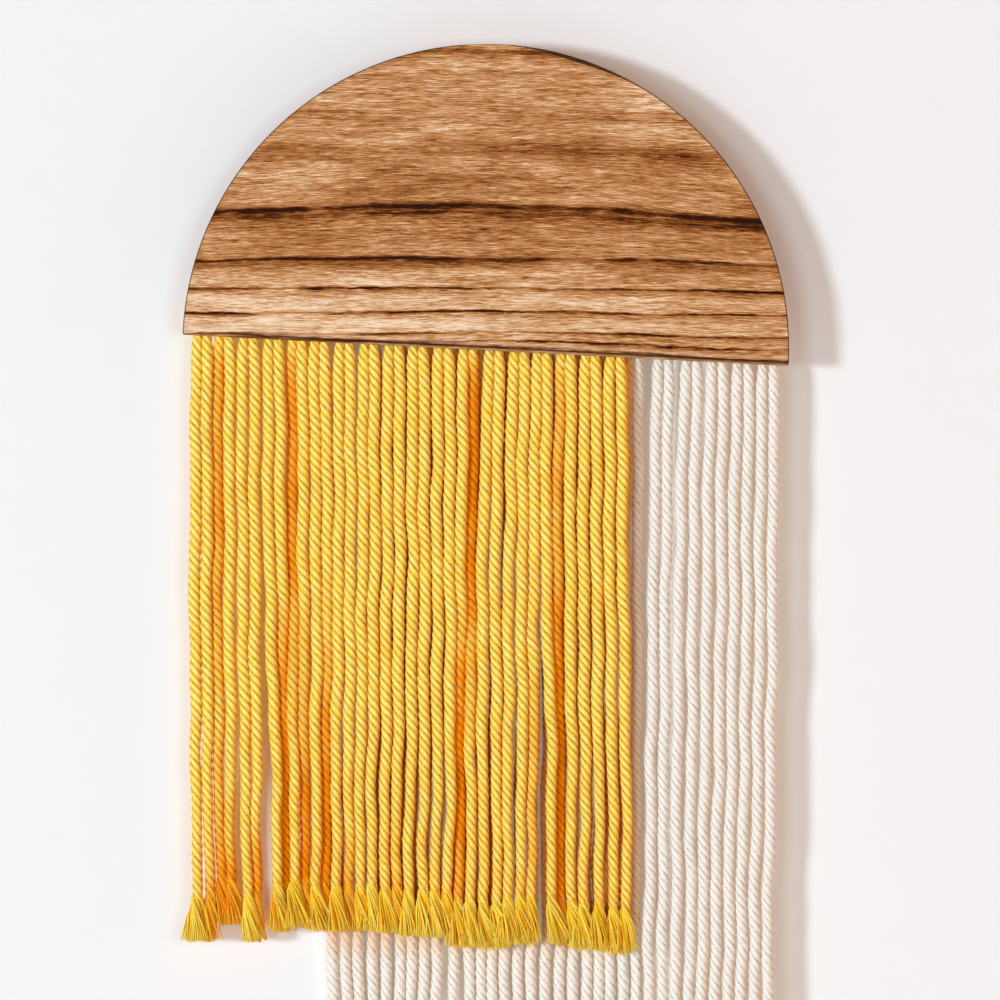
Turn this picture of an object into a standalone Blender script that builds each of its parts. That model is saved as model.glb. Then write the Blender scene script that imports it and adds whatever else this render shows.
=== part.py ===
"""Half-round wooden plaque with a two-tier cord fringe, made to hang on a wall.

Three pieces: the plaque, a shorter yellow fringe and a longer cream fringe. Each fringe is a row of
thick twisted cords. Every cord is folded in half, its fold lies flat against the back of the plaque
just above the straight edge, and its two ends hang down below that edge. Where the two rows share
the edge the cream cords lie behind the yellow ones.

Frame: metres, +Z up, the front faces -Y. The origin is the hanging point, on the flat back of the
plaque. The plaque hangs a little askew, its right side lower, pulled down by the heavier cream cords.
"""

import math

import bmesh
import bpy
from mathutils import Matrix, Vector

MM = 0.001

# ---------------------------------------------------------------- plaque (mm, degrees)
BOARD_RADIUS = 140.5       # half disc: 281 wide
BOARD_LIP = 1.3            # the straight edge is sawn this far below the disc's middle
BOARD_THICK = 6.0
BOARD_TILT = 2.95          # clockwise seen from the front
CORNER_ROUND = 0.6         # the two lower corners
ARRIS = 0.5                # eased arrises, front and back
ARC_STEPS = 80
HANG_HEIGHT = 74.0         # hanging point above the disc's middle, on the centre line

# ---------------------------------------------------------------- cord (mm)
CORD_RADIUS = 2.5
CORD_SIDES = 8
CORD_CLEAR = 5.3           # least distance between two centre lines that cross in depth
BACK_GAP = 0.5             # between the plaque's back and the nearest cords
CORE_RADIUS = 2.0          # the line of contact that joins the folds of one row, a square bar
CORE_SIDES = 4

# The fold, half of it, from the straight edge up to its crown: distance from the
# fold's centre line, and height above the disc's middle.
FOLD = (
    # out, up
    (2.45, 0.0),
    (2.7, 8.2),
    (0.0, 11.0),
)
CORE_UP = 6.0              # height of the line of contact above the disc's middle

# ---------------------------------------------------------------- yellow tier (mm)
YELLOW_MID, YELLOW_LOW = 92.0, 205.0    # below the disc's middle
YELLOW_FIRST, YELLOW_PITCH = -131.8, 11.3
YELLOW_FRONT = CORD_RADIUS + BACK_GAP

# One row for each folded cord, left to right: sideways places of its left and right strand
# at those two heights and at their tips, which strand lies behind its neighbours at each
# place (L, R or -), and how far down the frayed tips reach.
YELLOW = (
    # mid_l   mid_r   low_l   low_r   tip_l   tip_r  mid  low  tip  reach
    (-135.0, -129.6, -134.4, -129.4, -134.3, -128.2, "-", "-", "-", 276.0),
    (-124.6, -119.0, -123.8, -118.0, -122.6, -117.6, "L", "L", "L", 268.0),
    (-113.0, -107.3, -111.5, -106.4, -110.4, -106.6, "-", "-", "R", 276.0),
    (-100.7, -94.9, -97.2, -92.9, -96.6, -92.1, "-", "R", "R", 271.0),
    (-89.4, -84.6, -89.1, -84.2, -88.0, -83.4, "L", "R", "R", 269.0),
    (-78.7, -73.4, -78.8, -74.2, -78.9, -74.0, "L", "R", "R", 271.0),
    (-68.2, -62.8, -69.5, -63.6, -69.4, -63.5, "-", "-", "R", 271.0),
    (-57.1, -51.6, -58.3, -52.8, -58.8, -53.2, "-", "-", "-", 271.0),
    (-45.8, -40.0, -46.7, -41.2, -47.2, -42.2, "-", "-", "R", 272.0),
    (-33.9, -28.4, -35.0, -28.8, -36.8, -29.4, "-", "-", "R", 273.0),
    (-22.5, -16.7, -22.6, -16.5, -24.0, -18.4, "-", "-", "-", 274.0),
    (-11.3, -6.7, -12.1, -7.0, -12.2, -6.7, "R", "L", "-", 278.0),
    (-1.3, 4.5, -1.3, 5.2, -0.7, 5.0, "-", "L", "L", 279.0),
    (11.0, 16.8, 10.2, 16.8, 10.0, 15.0, "-", "-", "-", 277.0),
    (22.4, 27.9, 22.0, 30.8, 20.4, 30.4, "-", "L", "L", 277.0),
    (33.0, 39.2, 34.6, 39.9, 34.9, 39.6, "L", "L", "L", 278.0),
    (45.3, 51.6, 46.3, 52.5, 44.9, 53.2, "-", "-", "-", 280.0),
    (57.6, 63.6, 59.0, 65.3, 59.9, 65.6, "-", "-", "R", 281.0),
)

# ---------------------------------------------------------------- cream tier (mm)
CREAM_PUSHED = 60.0        # below the disc's middle: here the strands reach their full depth
CREAM_MID, CREAM_LOW = 148.0, 295.0
CREAM_FIRST, CREAM_PITCH = -66.0, 12.3

# One row for each folded cord, left to right: sideways places of its left and right strand
# at those two heights and at their tips, the depths of its fold and of its strands, and how
# far down the tips reach. Folds that lie on yellow folds are 8.8 deep, the others lie on the plaque.
CREAM = (
    # mid_l  mid_r  low_l  low_r  tip_l  tip_r  fold  hang  reach
    (-70.0, -63.8, -71.4, -65.1, -71.9, -65.3, 8.8, 12.4, 449.0),
    (-57.6, -51.4, -59.2, -52.5, -59.0, -52.9, 8.8, 12.4, 446.0),
    (-45.4, -39.0, -46.2, -39.9, -46.6, -40.0, 8.8, 12.4, 448.0),
    (-33.6, -27.4, -34.7, -29.1, -34.4, -28.6, 8.8, 12.4, 452.0),
    (-21.4, -14.4, -23.2, -15.4, -22.4, -15.8, 8.8, 12.4, 450.0),
    (-8.0, -2.0, -7.9, -2.2, -8.6, -2.8, 8.8, 12.4, 447.0),
    (4.0, 9.8, 2.9, 8.8, 3.3, 9.0, 8.8, 12.4, 451.0),
    (16.6, 22.4, 15.3, 21.4, 15.6, 21.6, 8.8, 12.4, 453.0),
    (28.8, 34.8, 28.0, 34.5, 27.7, 33.9, 8.8, 12.4, 450.0),
    (41.2, 47.0, 40.5, 46.9, 40.3, 46.3, 8.8, 12.4, 455.0),
    (53.2, 58.6, 52.2, 57.3, 52.3, 57.9, 8.8, 12.4, 452.0),
    (64.8, 70.4, 63.6, 69.7, 64.2, 69.9, 8.8, 12.0, 456.0),
    (77.5, 83.2, 75.8, 82.2, 76.0, 82.0, 5.6, 5.0, 454.0),
    (89.4, 96.0, 88.3, 94.8, 88.0, 94.2, 3.6, 3.8, 457.0),
    (102.4, 108.9, 100.6, 106.4, 100.2, 106.3, 3.2, 3.4, 455.0),
    (114.8, 120.9, 112.6, 118.4, 112.4, 118.6, 3.2, 3.3, 459.0),
    (127.0, 133.0, 124.5, 130.7, 124.6, 130.9, 3.2, 3.2, 458.0),
)


# ---------------------------------------------------------------- placing
TILT = math.radians(BOARD_TILT)
ALONG = Vector((math.cos(TILT), 0.0, -math.sin(TILT)))     # along the straight edge, to the right
UPRIGHT = Vector((math.sin(TILT), 0.0, math.cos(TILT)))    # square to it, in the plaque's plane
EDGE_MIDDLE = -HANG_HEIGHT * UPRIGHT                       # middle of the disc, y = 0; the cords are placed from it


def on_board(along, up, depth):
    """A point from its place along the straight edge, its height above the disc's middle and its depth."""
    return EDGE_MIDDLE + along * ALONG + up * UPRIGHT + Vector((0.0, depth, 0.0))


def below(x, down, depth):
    """A point of a hanging strand: sideways from the disc's middle, and down from it."""
    return EDGE_MIDDLE + Vector((x, depth, -down))


# ---------------------------------------------------------------- meshes
def mesh_object(name, bm, material, smooth=False):
    bmesh.ops.recalc_face_normals(bm, faces=bm.faces)
    mesh = bpy.data.meshes.new(name)
    bm.to_mesh(mesh)
    bm.free()
    mesh.transform(Matrix.Scale(MM, 4))
    if smooth:
        mesh.shade_smooth()
    mesh.materials.append(material)
    obj = bpy.data.objects.new(name, mesh)
    bpy.context.scene.collection.objects.link(obj)
    return obj


def principled(name, colour, roughness, sheen=0.0):
    material = bpy.data.materials.new(name)
    material.use_nodes = True
    shader = material.node_tree.nodes["Principled BSDF"]
    shader.inputs["Base Color"].default_value = (*colour, 1.0)
    shader.inputs["Roughness"].default_value = roughness
    shader.inputs["Metallic"].default_value = 0.0
    shader.inputs["Sheen Weight"].default_value = sheen
    return material


def ring(bm, centre, direction, radius, sides, cap=False):
    """One ring of a cord, square to its direction, with flats towards the front and the sides."""
    forward = Vector((0.0, 1.0, 0.0))
    forward = (forward - forward.dot(direction) * direction).normalized()
    side = direction.cross(forward)
    turn = Matrix((forward, side, direction)).transposed().to_4x4()
    turn = turn @ Matrix.Rotation(math.pi / sides, 4, "Z")
    made = bmesh.ops.create_circle(
        bm, cap_ends=cap, segments=sides, radius=radius,
        matrix=Matrix.Translation(centre) @ turn,
    )
    return list({e for v in made["verts"] for e in v.link_edges})


def cord(bm, path, radius=CORD_RADIUS, sides=CORD_SIDES):
    """A closed tube along a path of points, one ring at each point."""
    last = None
    for i, point in enumerate(path):
        ahead = path[min(i + 1, len(path) - 1)] - point
        behind = point - path[max(i - 1, 0)]
        direction = (ahead.normalized() if ahead.length else Vector()) + (
            behind.normalized() if behind.length else Vector()
        )
        edges = ring(bm, point, direction.normalized(), radius, sides, cap=i in (0, len(path) - 1))
        if last:
            bmesh.ops.bridge_loops(bm, edges=last + edges)
        last = edges


def behind_by(x, others):
    """How far back a strand must lie to clear its nearest neighbours, side by side with it."""
    near = min(abs(x - other) for other in others)
    return math.sqrt(max(0.0, CORD_CLEAR**2 - near**2))


def comb(name, rows, first, pitch, fold_depth, legs, material):
    """One row of folded cords, joined where the folds lie side by side."""
    cords = bmesh.new()
    core = []
    for i in range(rows):
        centre = first + pitch * i
        deep = fold_depth(i)
        left, right = legs(i)
        crown = [on_board(centre - out, up, deep) for out, up in FOLD]
        crown += [on_board(centre + out, up, deep) for out, up in FOLD[-2::-1]]
        cord(cords, left[::-1] + crown + right)
        core.append(on_board(centre, CORE_UP, deep))
    helper = mesh_object(name + "_cords", cords, material)
    helper.hide_render = True
    helper.display_type = "WIRE"

    spine = bmesh.new()
    cord(spine, core, CORE_RADIUS, CORE_SIDES)
    body = mesh_object(name, spine, material, smooth=True)
    union = body.modifiers.new("folds", "BOOLEAN")
    union.operation = "UNION"
    union.solver = "EXACT"
    union.object = helper
    return body


# ---------------------------------------------------------------- the plaque
def make_board(material):
    bm = bmesh.new()
    bmesh.ops.create_circle(
        bm, cap_ends=True, segments=2 * ARC_STEPS, radius=BOARD_RADIUS,
        matrix=Matrix.Rotation(math.radians(90), 4, "X"),
    )
    # Half of the disc: everything below the straight edge is cut away.
    bmesh.ops.bisect_plane(
        bm, geom=bm.verts[:] + bm.edges[:] + bm.faces[:], dist=1e-6,
        plane_co=(0, 0, -BOARD_LIP), plane_no=(0, 0, 1), clear_inner=True,
    )
    corners = [v for v in bm.verts if abs(v.co.z + BOARD_LIP) < 1e-4 and abs(v.co.x) > BOARD_RADIUS - 1.0]
    bmesh.ops.bevel(
        bm, geom=corners, offset=CORNER_ROUND, offset_type="OFFSET", segments=3,
        profile=0.5, affect="VERTICES",
    )
    pushed = bmesh.ops.extrude_face_region(bm, geom=bm.faces[:], use_keep_orig=True)
    moved = [g for g in pushed["geom"] if isinstance(g, bmesh.types.BMVert)]
    bmesh.ops.translate(bm, verts=moved, vec=(0, -BOARD_THICK, 0))
    bmesh.ops.recalc_face_normals(bm, faces=bm.faces)
    flats = [f for f in bm.faces if abs(f.normal.y) > 0.99]
    rims = {e for f in flats for e in f.edges}
    bmesh.ops.bevel(
        bm, geom=list(rims), offset=ARRIS, offset_type="OFFSET", segments=2,
        profile=0.5, affect="EDGES", clamp_overlap=True,
    )
    bmesh.ops.transform(
        bm, verts=bm.verts,
        matrix=Matrix.Translation(EDGE_MIDDLE) @ Matrix.Rotation(TILT, 4, "Y"),
    )
    board = mesh_object("board", bm, material)
    board.data.shade_smooth()
    board.data.set_sharp_from_angle(angle=math.radians(30))
    return board


# ---------------------------------------------------------------- the two tiers
def yellow_place(i, leg, station):
    """Sideways place and depth of one yellow strand at the mid, low or tip station (0, 1, 2)."""
    x = YELLOW[i][2 * station + leg]
    if YELLOW[i][6 + station] != "LR"[leg]:
        return x, YELLOW_FRONT
    others = [row[2 * station + k] for row in YELLOW for k in (0, 1)]
    return x, YELLOW_FRONT + behind_by(x, [other for other in others if other != x])


def yellow_legs(i):
    """The left and the right strand of one yellow cord, from below the edge to the tip."""
    downs = (YELLOW_MID, YELLOW_LOW, YELLOW[i][9])
    legs = []
    for leg in (0, 1):
        places = [yellow_place(i, leg, station) for station in range(3)]
        legs.append([below(x, down, deep) for down, (x, deep) in zip(downs, places)])
    return legs


def cream_legs(i):
    """The left and the right strand of one cream cord, from below the edge to the tip."""
    hang, reach = CREAM[i][7:]
    legs = []
    for leg, sign in ((0, -1), (1, 1)):
        mid, low, tip = CREAM[i][leg:6:2]
        top = CREAM_FIRST + CREAM_PITCH * i + sign * 2.8
        legs.append([
            below((top + mid) / 2, CREAM_PUSHED, hang),
            below(mid, CREAM_MID, hang),
            below(low, CREAM_LOW, hang),
            below(tip, reach, hang),
        ])
    return legs


def main():
    for obj in list(bpy.data.objects):
        bpy.data.objects.remove(obj, do_unlink=True)

    wood = principled("toasted_wood", (0.46, 0.24, 0.10), 0.55)
    yellow = principled("yellow_cotton", (0.87, 0.55, 0.06), 0.9, sheen=0.3)
    cream = principled("cream_cotton", (0.84, 0.78, 0.69), 0.9, sheen=0.3)

    make_board(wood)
    comb("yellow_fringe", len(YELLOW), YELLOW_FIRST, YELLOW_PITCH,
         lambda i: YELLOW_FRONT, yellow_legs, yellow)
    comb("cream_fringe", len(CREAM), CREAM_FIRST, CREAM_PITCH,
         lambda i: CREAM[i][6], cream_legs, cream)


main()
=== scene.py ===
"""Looks of the half-round plaque with two tiers of twisted cotton cord.

The plaque is the CAD node itself with a toasted-wood material. Each tier's CAD comb is replaced by its
real cords: four plies laid up to the left (S twist) along one smooth line from tip to fold to tip, and
a brush of loose yarns where each end has frayed out. Everything is worked out from the same short
tables of named sizes as the CAD, in millimetres, and scaled to metres when the meshes are made.
"""

import math

import bpy
import numpy as np
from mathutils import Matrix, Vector


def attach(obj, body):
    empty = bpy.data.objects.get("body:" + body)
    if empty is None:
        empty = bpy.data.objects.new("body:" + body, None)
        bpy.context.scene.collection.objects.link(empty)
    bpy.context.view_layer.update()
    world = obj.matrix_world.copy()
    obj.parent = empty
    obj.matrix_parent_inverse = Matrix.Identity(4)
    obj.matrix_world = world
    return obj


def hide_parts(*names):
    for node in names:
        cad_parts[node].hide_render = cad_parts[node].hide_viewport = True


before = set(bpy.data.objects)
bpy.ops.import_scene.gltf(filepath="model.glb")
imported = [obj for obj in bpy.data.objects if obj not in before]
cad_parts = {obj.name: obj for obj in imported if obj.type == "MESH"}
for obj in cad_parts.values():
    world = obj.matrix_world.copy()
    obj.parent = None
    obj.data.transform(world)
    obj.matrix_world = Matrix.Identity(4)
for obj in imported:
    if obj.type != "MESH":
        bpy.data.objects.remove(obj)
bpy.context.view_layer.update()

MM = 0.001

# ---------------------------------------------------------------- sizes, as in the CAD (mm, degrees)
BOARD_RADIUS = 140.5
BOARD_LIP = 1.3
BOARD_TILT = 2.95
HANG_HEIGHT = 74.0
CORD_RADIUS = 2.5
CORD_CLEAR = 5.3
YELLOW_MID, YELLOW_LOW = 92.0, 205.0
YELLOW_FIRST, YELLOW_PITCH = -131.8, 11.3
YELLOW_FRONT = 3.0
CREAM_PUSHED, CREAM_MID, CREAM_LOW = 60.0, 148.0, 295.0
CREAM_FIRST, CREAM_PITCH = -66.0, 12.3

# Sideways places of each folded cord's two strands at mid height, low down and at the tips, which
# strand lies behind its neighbours at each place, and how far down the frayed tips reach.
YELLOW = (
    # mid_l   mid_r   low_l   low_r   tip_l   tip_r  mid  low  tip  reach
    (-135.0, -129.6, -134.4, -129.0, -133.9, -127.8, "-", "-", "R", 276.0),
    (-124.6, -119.0, -123.8, -118.6, -122.8, -118.8, "L", "L", "B", 268.0),
    (-113.0, -107.3, -111.5, -106.4, -110.4, -106.6, "-", "-", "R", 276.0),
    (-100.7, -94.9, -97.2, -92.9, -96.6, -92.1, "-", "R", "R", 271.0),
    (-89.4, -84.6, -89.1, -84.2, -88.0, -83.4, "L", "R", "R", 269.0),
    (-78.7, -73.4, -78.8, -74.2, -78.9, -74.0, "L", "R", "R", 271.0),
    (-68.2, -62.8, -69.5, -63.6, -69.4, -63.5, "-", "-", "R", 271.0),
    (-57.1, -51.6, -58.3, -52.8, -58.8, -53.2, "-", "-", "-", 271.0),
    (-45.8, -40.0, -46.7, -41.2, -47.2, -42.2, "-", "-", "R", 272.0),
    (-33.9, -28.4, -35.0, -28.8, -36.8, -29.4, "-", "-", "R", 273.0),
    (-22.5, -16.7, -22.6, -16.5, -24.0, -18.4, "-", "-", "-", 274.0),
    (-11.3, -6.7, -12.1, -7.0, -12.2, -6.7, "R", "L", "-", 278.0),
    (-1.3, 4.5, -1.3, 5.2, -0.7, 5.0, "-", "L", "L", 279.0),
    (11.0, 16.8, 10.2, 16.8, 10.0, 15.0, "-", "-", "-", 277.0),
    (22.4, 27.9, 22.0, 30.8, 20.4, 30.4, "-", "L", "L", 277.0),
    (33.0, 39.2, 34.6, 39.9, 34.9, 39.6, "L", "L", "L", 278.0),
    (45.3, 51.6, 46.3, 52.5, 44.9, 53.2, "-", "-", "-", 280.0),
    (57.6, 63.6, 59.0, 65.3, 59.9, 65.6, "-", "-", "R", 281.0),
)

# The same for the cream cords, with the depths of each fold and of its strands.
CREAM = (
    # mid_l  mid_r  low_l  low_r  tip_l  tip_r  fold  hang  reach
    (-70.0, -63.8, -71.4, -65.1, -71.9, -65.3, 8.8, 12.4, 449.0),
    (-57.6, -51.4, -59.2, -52.5, -59.0, -52.9, 8.8, 12.4, 446.0),
    (-45.4, -39.0, -46.2, -39.9, -46.6, -40.0, 8.8, 12.4, 448.0),
    (-33.6, -27.4, -34.7, -29.1, -34.4, -28.6, 8.8, 12.4, 452.0),
    (-21.4, -14.4, -23.2, -15.4, -22.4, -15.8, 8.8, 12.4, 450.0),
    (-8.0, -2.0, -7.9, -2.2, -8.6, -2.8, 8.8, 12.4, 447.0),
    (4.0, 9.8, 2.9, 8.8, 3.3, 9.0, 8.8, 12.4, 451.0),
    (16.6, 22.4, 15.3, 21.4, 15.6, 21.6, 8.8, 12.4, 453.0),
    (28.8, 34.8, 28.0, 34.5, 27.7, 33.9, 8.8, 12.4, 450.0),
    (41.2, 47.0, 40.5, 46.9, 40.3, 46.3, 8.8, 12.4, 455.0),
    (53.2, 58.6, 52.2, 57.3, 52.3, 57.9, 8.8, 12.4, 452.0),
    (64.8, 70.4, 63.6, 69.7, 64.2, 69.9, 8.8, 12.0, 456.0),
    (77.5, 83.2, 75.8, 82.2, 76.0, 82.0, 5.6, 5.0, 454.0),
    (89.4, 96.0, 88.3, 94.8, 88.0, 94.2, 3.6, 3.8, 457.0),
    (102.4, 108.9, 100.6, 106.4, 100.2, 106.3, 3.2, 3.4, 455.0),
    (114.8, 120.9, 112.6, 118.4, 112.4, 118.6, 3.2, 3.3, 459.0),
    (127.0, 133.0, 124.5, 130.7, 124.6, 130.9, 3.2, 3.2, 458.0),
)

# Where the two strands of each yellow cord come out below the plaque. The folds behind it lie between.
YELLOW_TOPS = (
    (-134.0, -129.4), (-124.1, -118.8), (-113.1, -107.3), (-101.1, -96.0), (-89.8, -85.2), (-79.8, -74.6),
    (-68.2, -62.9), (-56.7, -51.7), (-45.4, -40.1), (-34.0, -28.7), (-22.4, -16.8), (-10.6, -5.6),
    (1.4, 6.4), (12.9, 18.2), (23.7, 28.5), (34.8, 39.6), (46.0, 51.3), (57.2, 63.2),
)
# The same for the cream cords that show beside the yellow ones, by number; the rest keep the CAD's pitch.
CREAM_TOPS = {
    11: (66.0, 71.2), 12: (79.8, 85.3), 13: (92.7, 98.3), 14: (104.6, 110.3), 15: (116.6, 122.2), 16: (128.2, 134.0),
}

# ---------------------------------------------------------------- the cord's make-up (mm)
LAY = 16.0                 # one full turn of the four plies
PLIES = 4
# Slack cotton cord swells a little beyond its nominal 2.5 mm radius, to 2.8 mm on the plies' crowns.
PLY_OUT, PLY_RADIUS = 1.22, 1.58
GROOVE = 2.14              # radius at the bottom of a groove
SHOULDER = 31.0            # degrees from a ply's crown to the shoulder of its groove
RING_STEP = 1.40           # between sections along a cord
BRUSH = 17.0               # length of a frayed end
OPENING = 6.0              # above it, the length over which the first yarns leave the cord
YARNS = 84                 # loose yarns in one frayed end
YARN_RADIUS = 0.39

# ---------------------------------------------------------------- placing
TILT = math.radians(BOARD_TILT)
ALONG = np.array((math.cos(TILT), 0.0, -math.sin(TILT)))
UPRIGHT = np.array((math.sin(TILT), 0.0, math.cos(TILT)))
EDGE_MIDDLE = -HANG_HEIGHT * UPRIGHT


def on_board(along, up, depth):
    return EDGE_MIDDLE + along * ALONG + up * UPRIGHT + np.array((0.0, depth, 0.0))


def below(x, down, depth):
    return EDGE_MIDDLE + np.array((x, depth, -down))


def behind_by(x, others):
    near = min(abs(x - other) for other in others)
    return math.sqrt(max(0.0, CORD_CLEAR**2 - near**2))


# ---------------------------------------------------------------- lines
def through(points, step=0.5):
    """A smooth line through the points (centripetal Catmull-Rom), sampled about every step."""
    p = np.array(points, float)
    p = np.vstack([2 * p[0] - p[1], p, 2 * p[-1] - p[-2]])
    out = []
    for i in range(1, len(p) - 2):
        p0, p1, p2, p3 = p[i - 1], p[i], p[i + 1], p[i + 2]
        t = [0.0]
        for a, b in ((p0, p1), (p1, p2), (p2, p3)):
            t.append(t[-1] + max(np.linalg.norm(b - a), 1e-6) ** 0.5)
        n = max(2, int(np.linalg.norm(p2 - p1) / step))
        u = np.linspace(t[1], t[2], n, endpoint=False)[:, None]
        a1 = (t[1] - u) / (t[1] - t[0]) * p0 + (u - t[0]) / (t[1] - t[0]) * p1
        a2 = (t[2] - u) / (t[2] - t[1]) * p1 + (u - t[1]) / (t[2] - t[1]) * p2
        a3 = (t[3] - u) / (t[3] - t[2]) * p2 + (u - t[2]) / (t[3] - t[2]) * p3
        b1 = (t[2] - u) / (t[2] - t[0]) * a1 + (u - t[0]) / (t[2] - t[0]) * a2
        b2 = (t[3] - u) / (t[3] - t[1]) * a2 + (u - t[1]) / (t[3] - t[1]) * a3
        out.append((t[2] - u) / (t[2] - t[1]) * b1 + (u - t[1]) / (t[2] - t[1]) * b2)
    out.append(p[-2][None])
    return np.vstack(out)


def even(line, step):
    """The line again, with points the same distance apart, and each point's distance from its start."""
    gone = np.concatenate([[0], np.cumsum(np.linalg.norm(np.diff(line, axis=0), axis=1))])
    at = np.linspace(0, gone[-1], max(2, round(gone[-1] / step) + 1))
    return np.stack([np.interp(at, gone, line[:, k]) for k in range(3)], 1), at


def waves(rng, at, lengths, size):
    """A slow, irregular wave along a cord."""
    total = np.zeros_like(at)
    for length in lengths:
        turn = rng.uniform(0, 2 * math.pi)
        total += np.sin(at * 2 * math.pi / (length * rng.uniform(0.8, 1.25)) + turn)
    return size * total / math.sqrt(len(lengths))


def fold_points(centre, depth, half, shoulder):
    """The fold, from the left strand's end at the straight edge over the crown to the right strand's."""
    points = [(-half, 0.0), (-shoulder, 4.6)]
    for k in range(9):
        angle = math.pi * (1 - k / 8)
        points.append((shoulder * math.cos(angle), 8.0 + 2.9 * math.sin(angle)))
    points += [(shoulder, 4.6), (half, 0.0)]
    return [on_board(centre + out, up, depth) for out, up in points]


def yellow_place(i, leg, station):
    x = YELLOW[i][2 * station + leg]
    if YELLOW[i][6 + station] not in ("LR"[leg], "B"):
        return x, YELLOW_FRONT
    others = [row[2 * station + k] for row in YELLOW for k in (0, 1)]
    return x, YELLOW_FRONT + behind_by(x, [o for o in others if o != x])


def yellow_line(i):
    centre = sum(YELLOW_TOPS[i]) / 2 / math.cos(TILT)
    drop = centre * math.sin(TILT)
    legs = []
    for leg, sign in ((0, -1), (1, 1)):
        mid, low, tip = (yellow_place(i, leg, k) for k in range(3))
        # Below the edge the two strands part, and one that lies behind sinks back.
        top = YELLOW_TOPS[i][leg]
        first = below(top, drop + 13, YELLOW_FRONT + 0.75 * (mid[1] - YELLOW_FRONT))
        second = below(0.55 * top + 0.45 * mid[0], drop + 46, mid[1])
        legs.append([first, second, below(mid[0], YELLOW_MID, mid[1]), below(low[0], YELLOW_LOW, low[1]),
                     below(tip[0], YELLOW[i][9], tip[1])])
    return legs[0][::-1] + fold_points(centre, YELLOW_FRONT, 2.2, 2.7) + legs[1]


def cream_line(i):
    fold, hang, reach = CREAM[i][6:]
    centre = CREAM_FIRST + CREAM_PITCH * i
    tops = CREAM_TOPS.get(i, (centre - 2.8, centre + 2.8))
    centre = sum(tops) / 2 / math.cos(TILT)
    drop = centre * math.sin(TILT)
    legs = []
    for leg, sign in ((0, -1), (1, 1)):
        mid, low, tip = CREAM[i][leg:6:2]
        top = tops[leg]
        legs.append([
            below(top, drop + 14, 0.75 * fold + 0.25 * hang),
            below((top + mid) / 2, CREAM_PUSHED, hang),
            below(mid, CREAM_MID, hang),
            below(low, CREAM_LOW, hang),
            below(tip, reach, hang),
        ])
    return legs[0][::-1] + fold_points(centre, fold, 2.5, 2.8) + legs[1]


# ---------------------------------------------------------------- twisted cord
def section():
    """The cord's outline: angles, radii and places across the ply (-1 and 1 in its two grooves, 0 on its crown)."""
    angles, radii, across = [], [], []
    for ply in range(PLIES):
        for place in (-1.0, -SHOULDER / 45, 0.0, SHOULDER / 45):
            angle = math.radians(45 * place)
            out = PLY_OUT * math.cos(angle) + math.sqrt(PLY_RADIUS**2 - (PLY_OUT * math.sin(angle)) ** 2)
            angles.append(angle + ply * 2 * math.pi / PLIES)
            radii.append(GROOVE if place == -1.0 else out)
            across.append(place)
    return np.array(angles), np.array(radii), np.array(across)


def carried_frames(line):
    """Tangents, and two directions square to them that turn as little as possible along the line."""
    tangent = np.gradient(line, axis=0)
    tangent /= np.linalg.norm(tangent, axis=1, keepdims=True)
    normal = np.empty_like(line)
    n = np.array((0.0, -1.0, 0.0))
    for i, t in enumerate(tangent):
        n = n - (n @ t) * t
        n /= np.linalg.norm(n)
        normal[i] = n
    return tangent, normal, np.cross(tangent, normal)


class Mesh:
    """Gathers points, faces and what each face's corners carry, for one piece."""

    def __init__(self):
        self.points, self.faces, self.ply, self.uv, self.sharp, self.behind, self.count = [], [], [], [], [], [], 0

    def add(self, points, faces, ply, uv, behind, sharp=None):
        self.faces.append(faces + self.count)
        self.points.append(points)
        self.ply.append(ply)
        self.uv.append(uv)
        self.behind.append(behind)
        if sharp is not None:
            self.sharp.append(sharp + self.count)
        self.count += len(points)

    def make(self, name, material):
        points = np.vstack(self.points) * MM
        sizes = np.concatenate([np.full(len(f), f.shape[1]) for f in self.faces])
        corners = np.concatenate([f.ravel() for f in self.faces])
        mesh = bpy.data.meshes.new(name)
        mesh.vertices.add(len(points))
        mesh.vertices.foreach_set("co", points.astype(np.float32).ravel())
        mesh.loops.add(len(corners))
        mesh.loops.foreach_set("vertex_index", corners.astype(np.int32))
        mesh.polygons.add(len(sizes))
        mesh.polygons.foreach_set("loop_start", np.concatenate([[0], np.cumsum(sizes)[:-1]]).astype(np.int32))
        mesh.polygons.foreach_set("use_smooth", np.ones(len(sizes), bool))
        mesh.update(calc_edges=True)
        ply = mesh.attributes.new("ply", "FLOAT_VECTOR", "CORNER")
        ply.data.foreach_set("vector", np.vstack(self.ply).astype(np.float32).ravel())
        behind = mesh.attributes.new("behind", "FLOAT", "CORNER")
        behind.data.foreach_set("value", np.concatenate(self.behind).astype(np.float32))
        layer = mesh.uv_layers.new(name="OFBake", do_init=False)
        layer.uv.foreach_set("vector", np.vstack(self.uv).astype(np.float32).ravel())
        if self.sharp:
            ends = np.empty(len(mesh.edges) * 2, np.int32)
            mesh.edges.foreach_get("vertices", ends)
            ends = np.sort(ends.reshape(-1, 2), 1).astype(np.int64)
            marked = np.sort(np.vstack(self.sharp), 1).astype(np.int64)
            is_sharp = np.isin(ends[:, 0] * 10**8 + ends[:, 1], marked[:, 0] * 10**8 + marked[:, 1])
            edge = mesh.attributes.new("sharp_edge", "BOOLEAN", "EDGE")
            edge.data.foreach_set("value", is_sharp)
        mesh.validate()
        mesh.materials.append(material)
        obj = bpy.data.objects.new(name, mesh)
        bpy.context.scene.collection.objects.link(obj)
        return obj


ANGLES, RADII, ACROSS = section()
AROUND = len(ANGLES)


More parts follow.
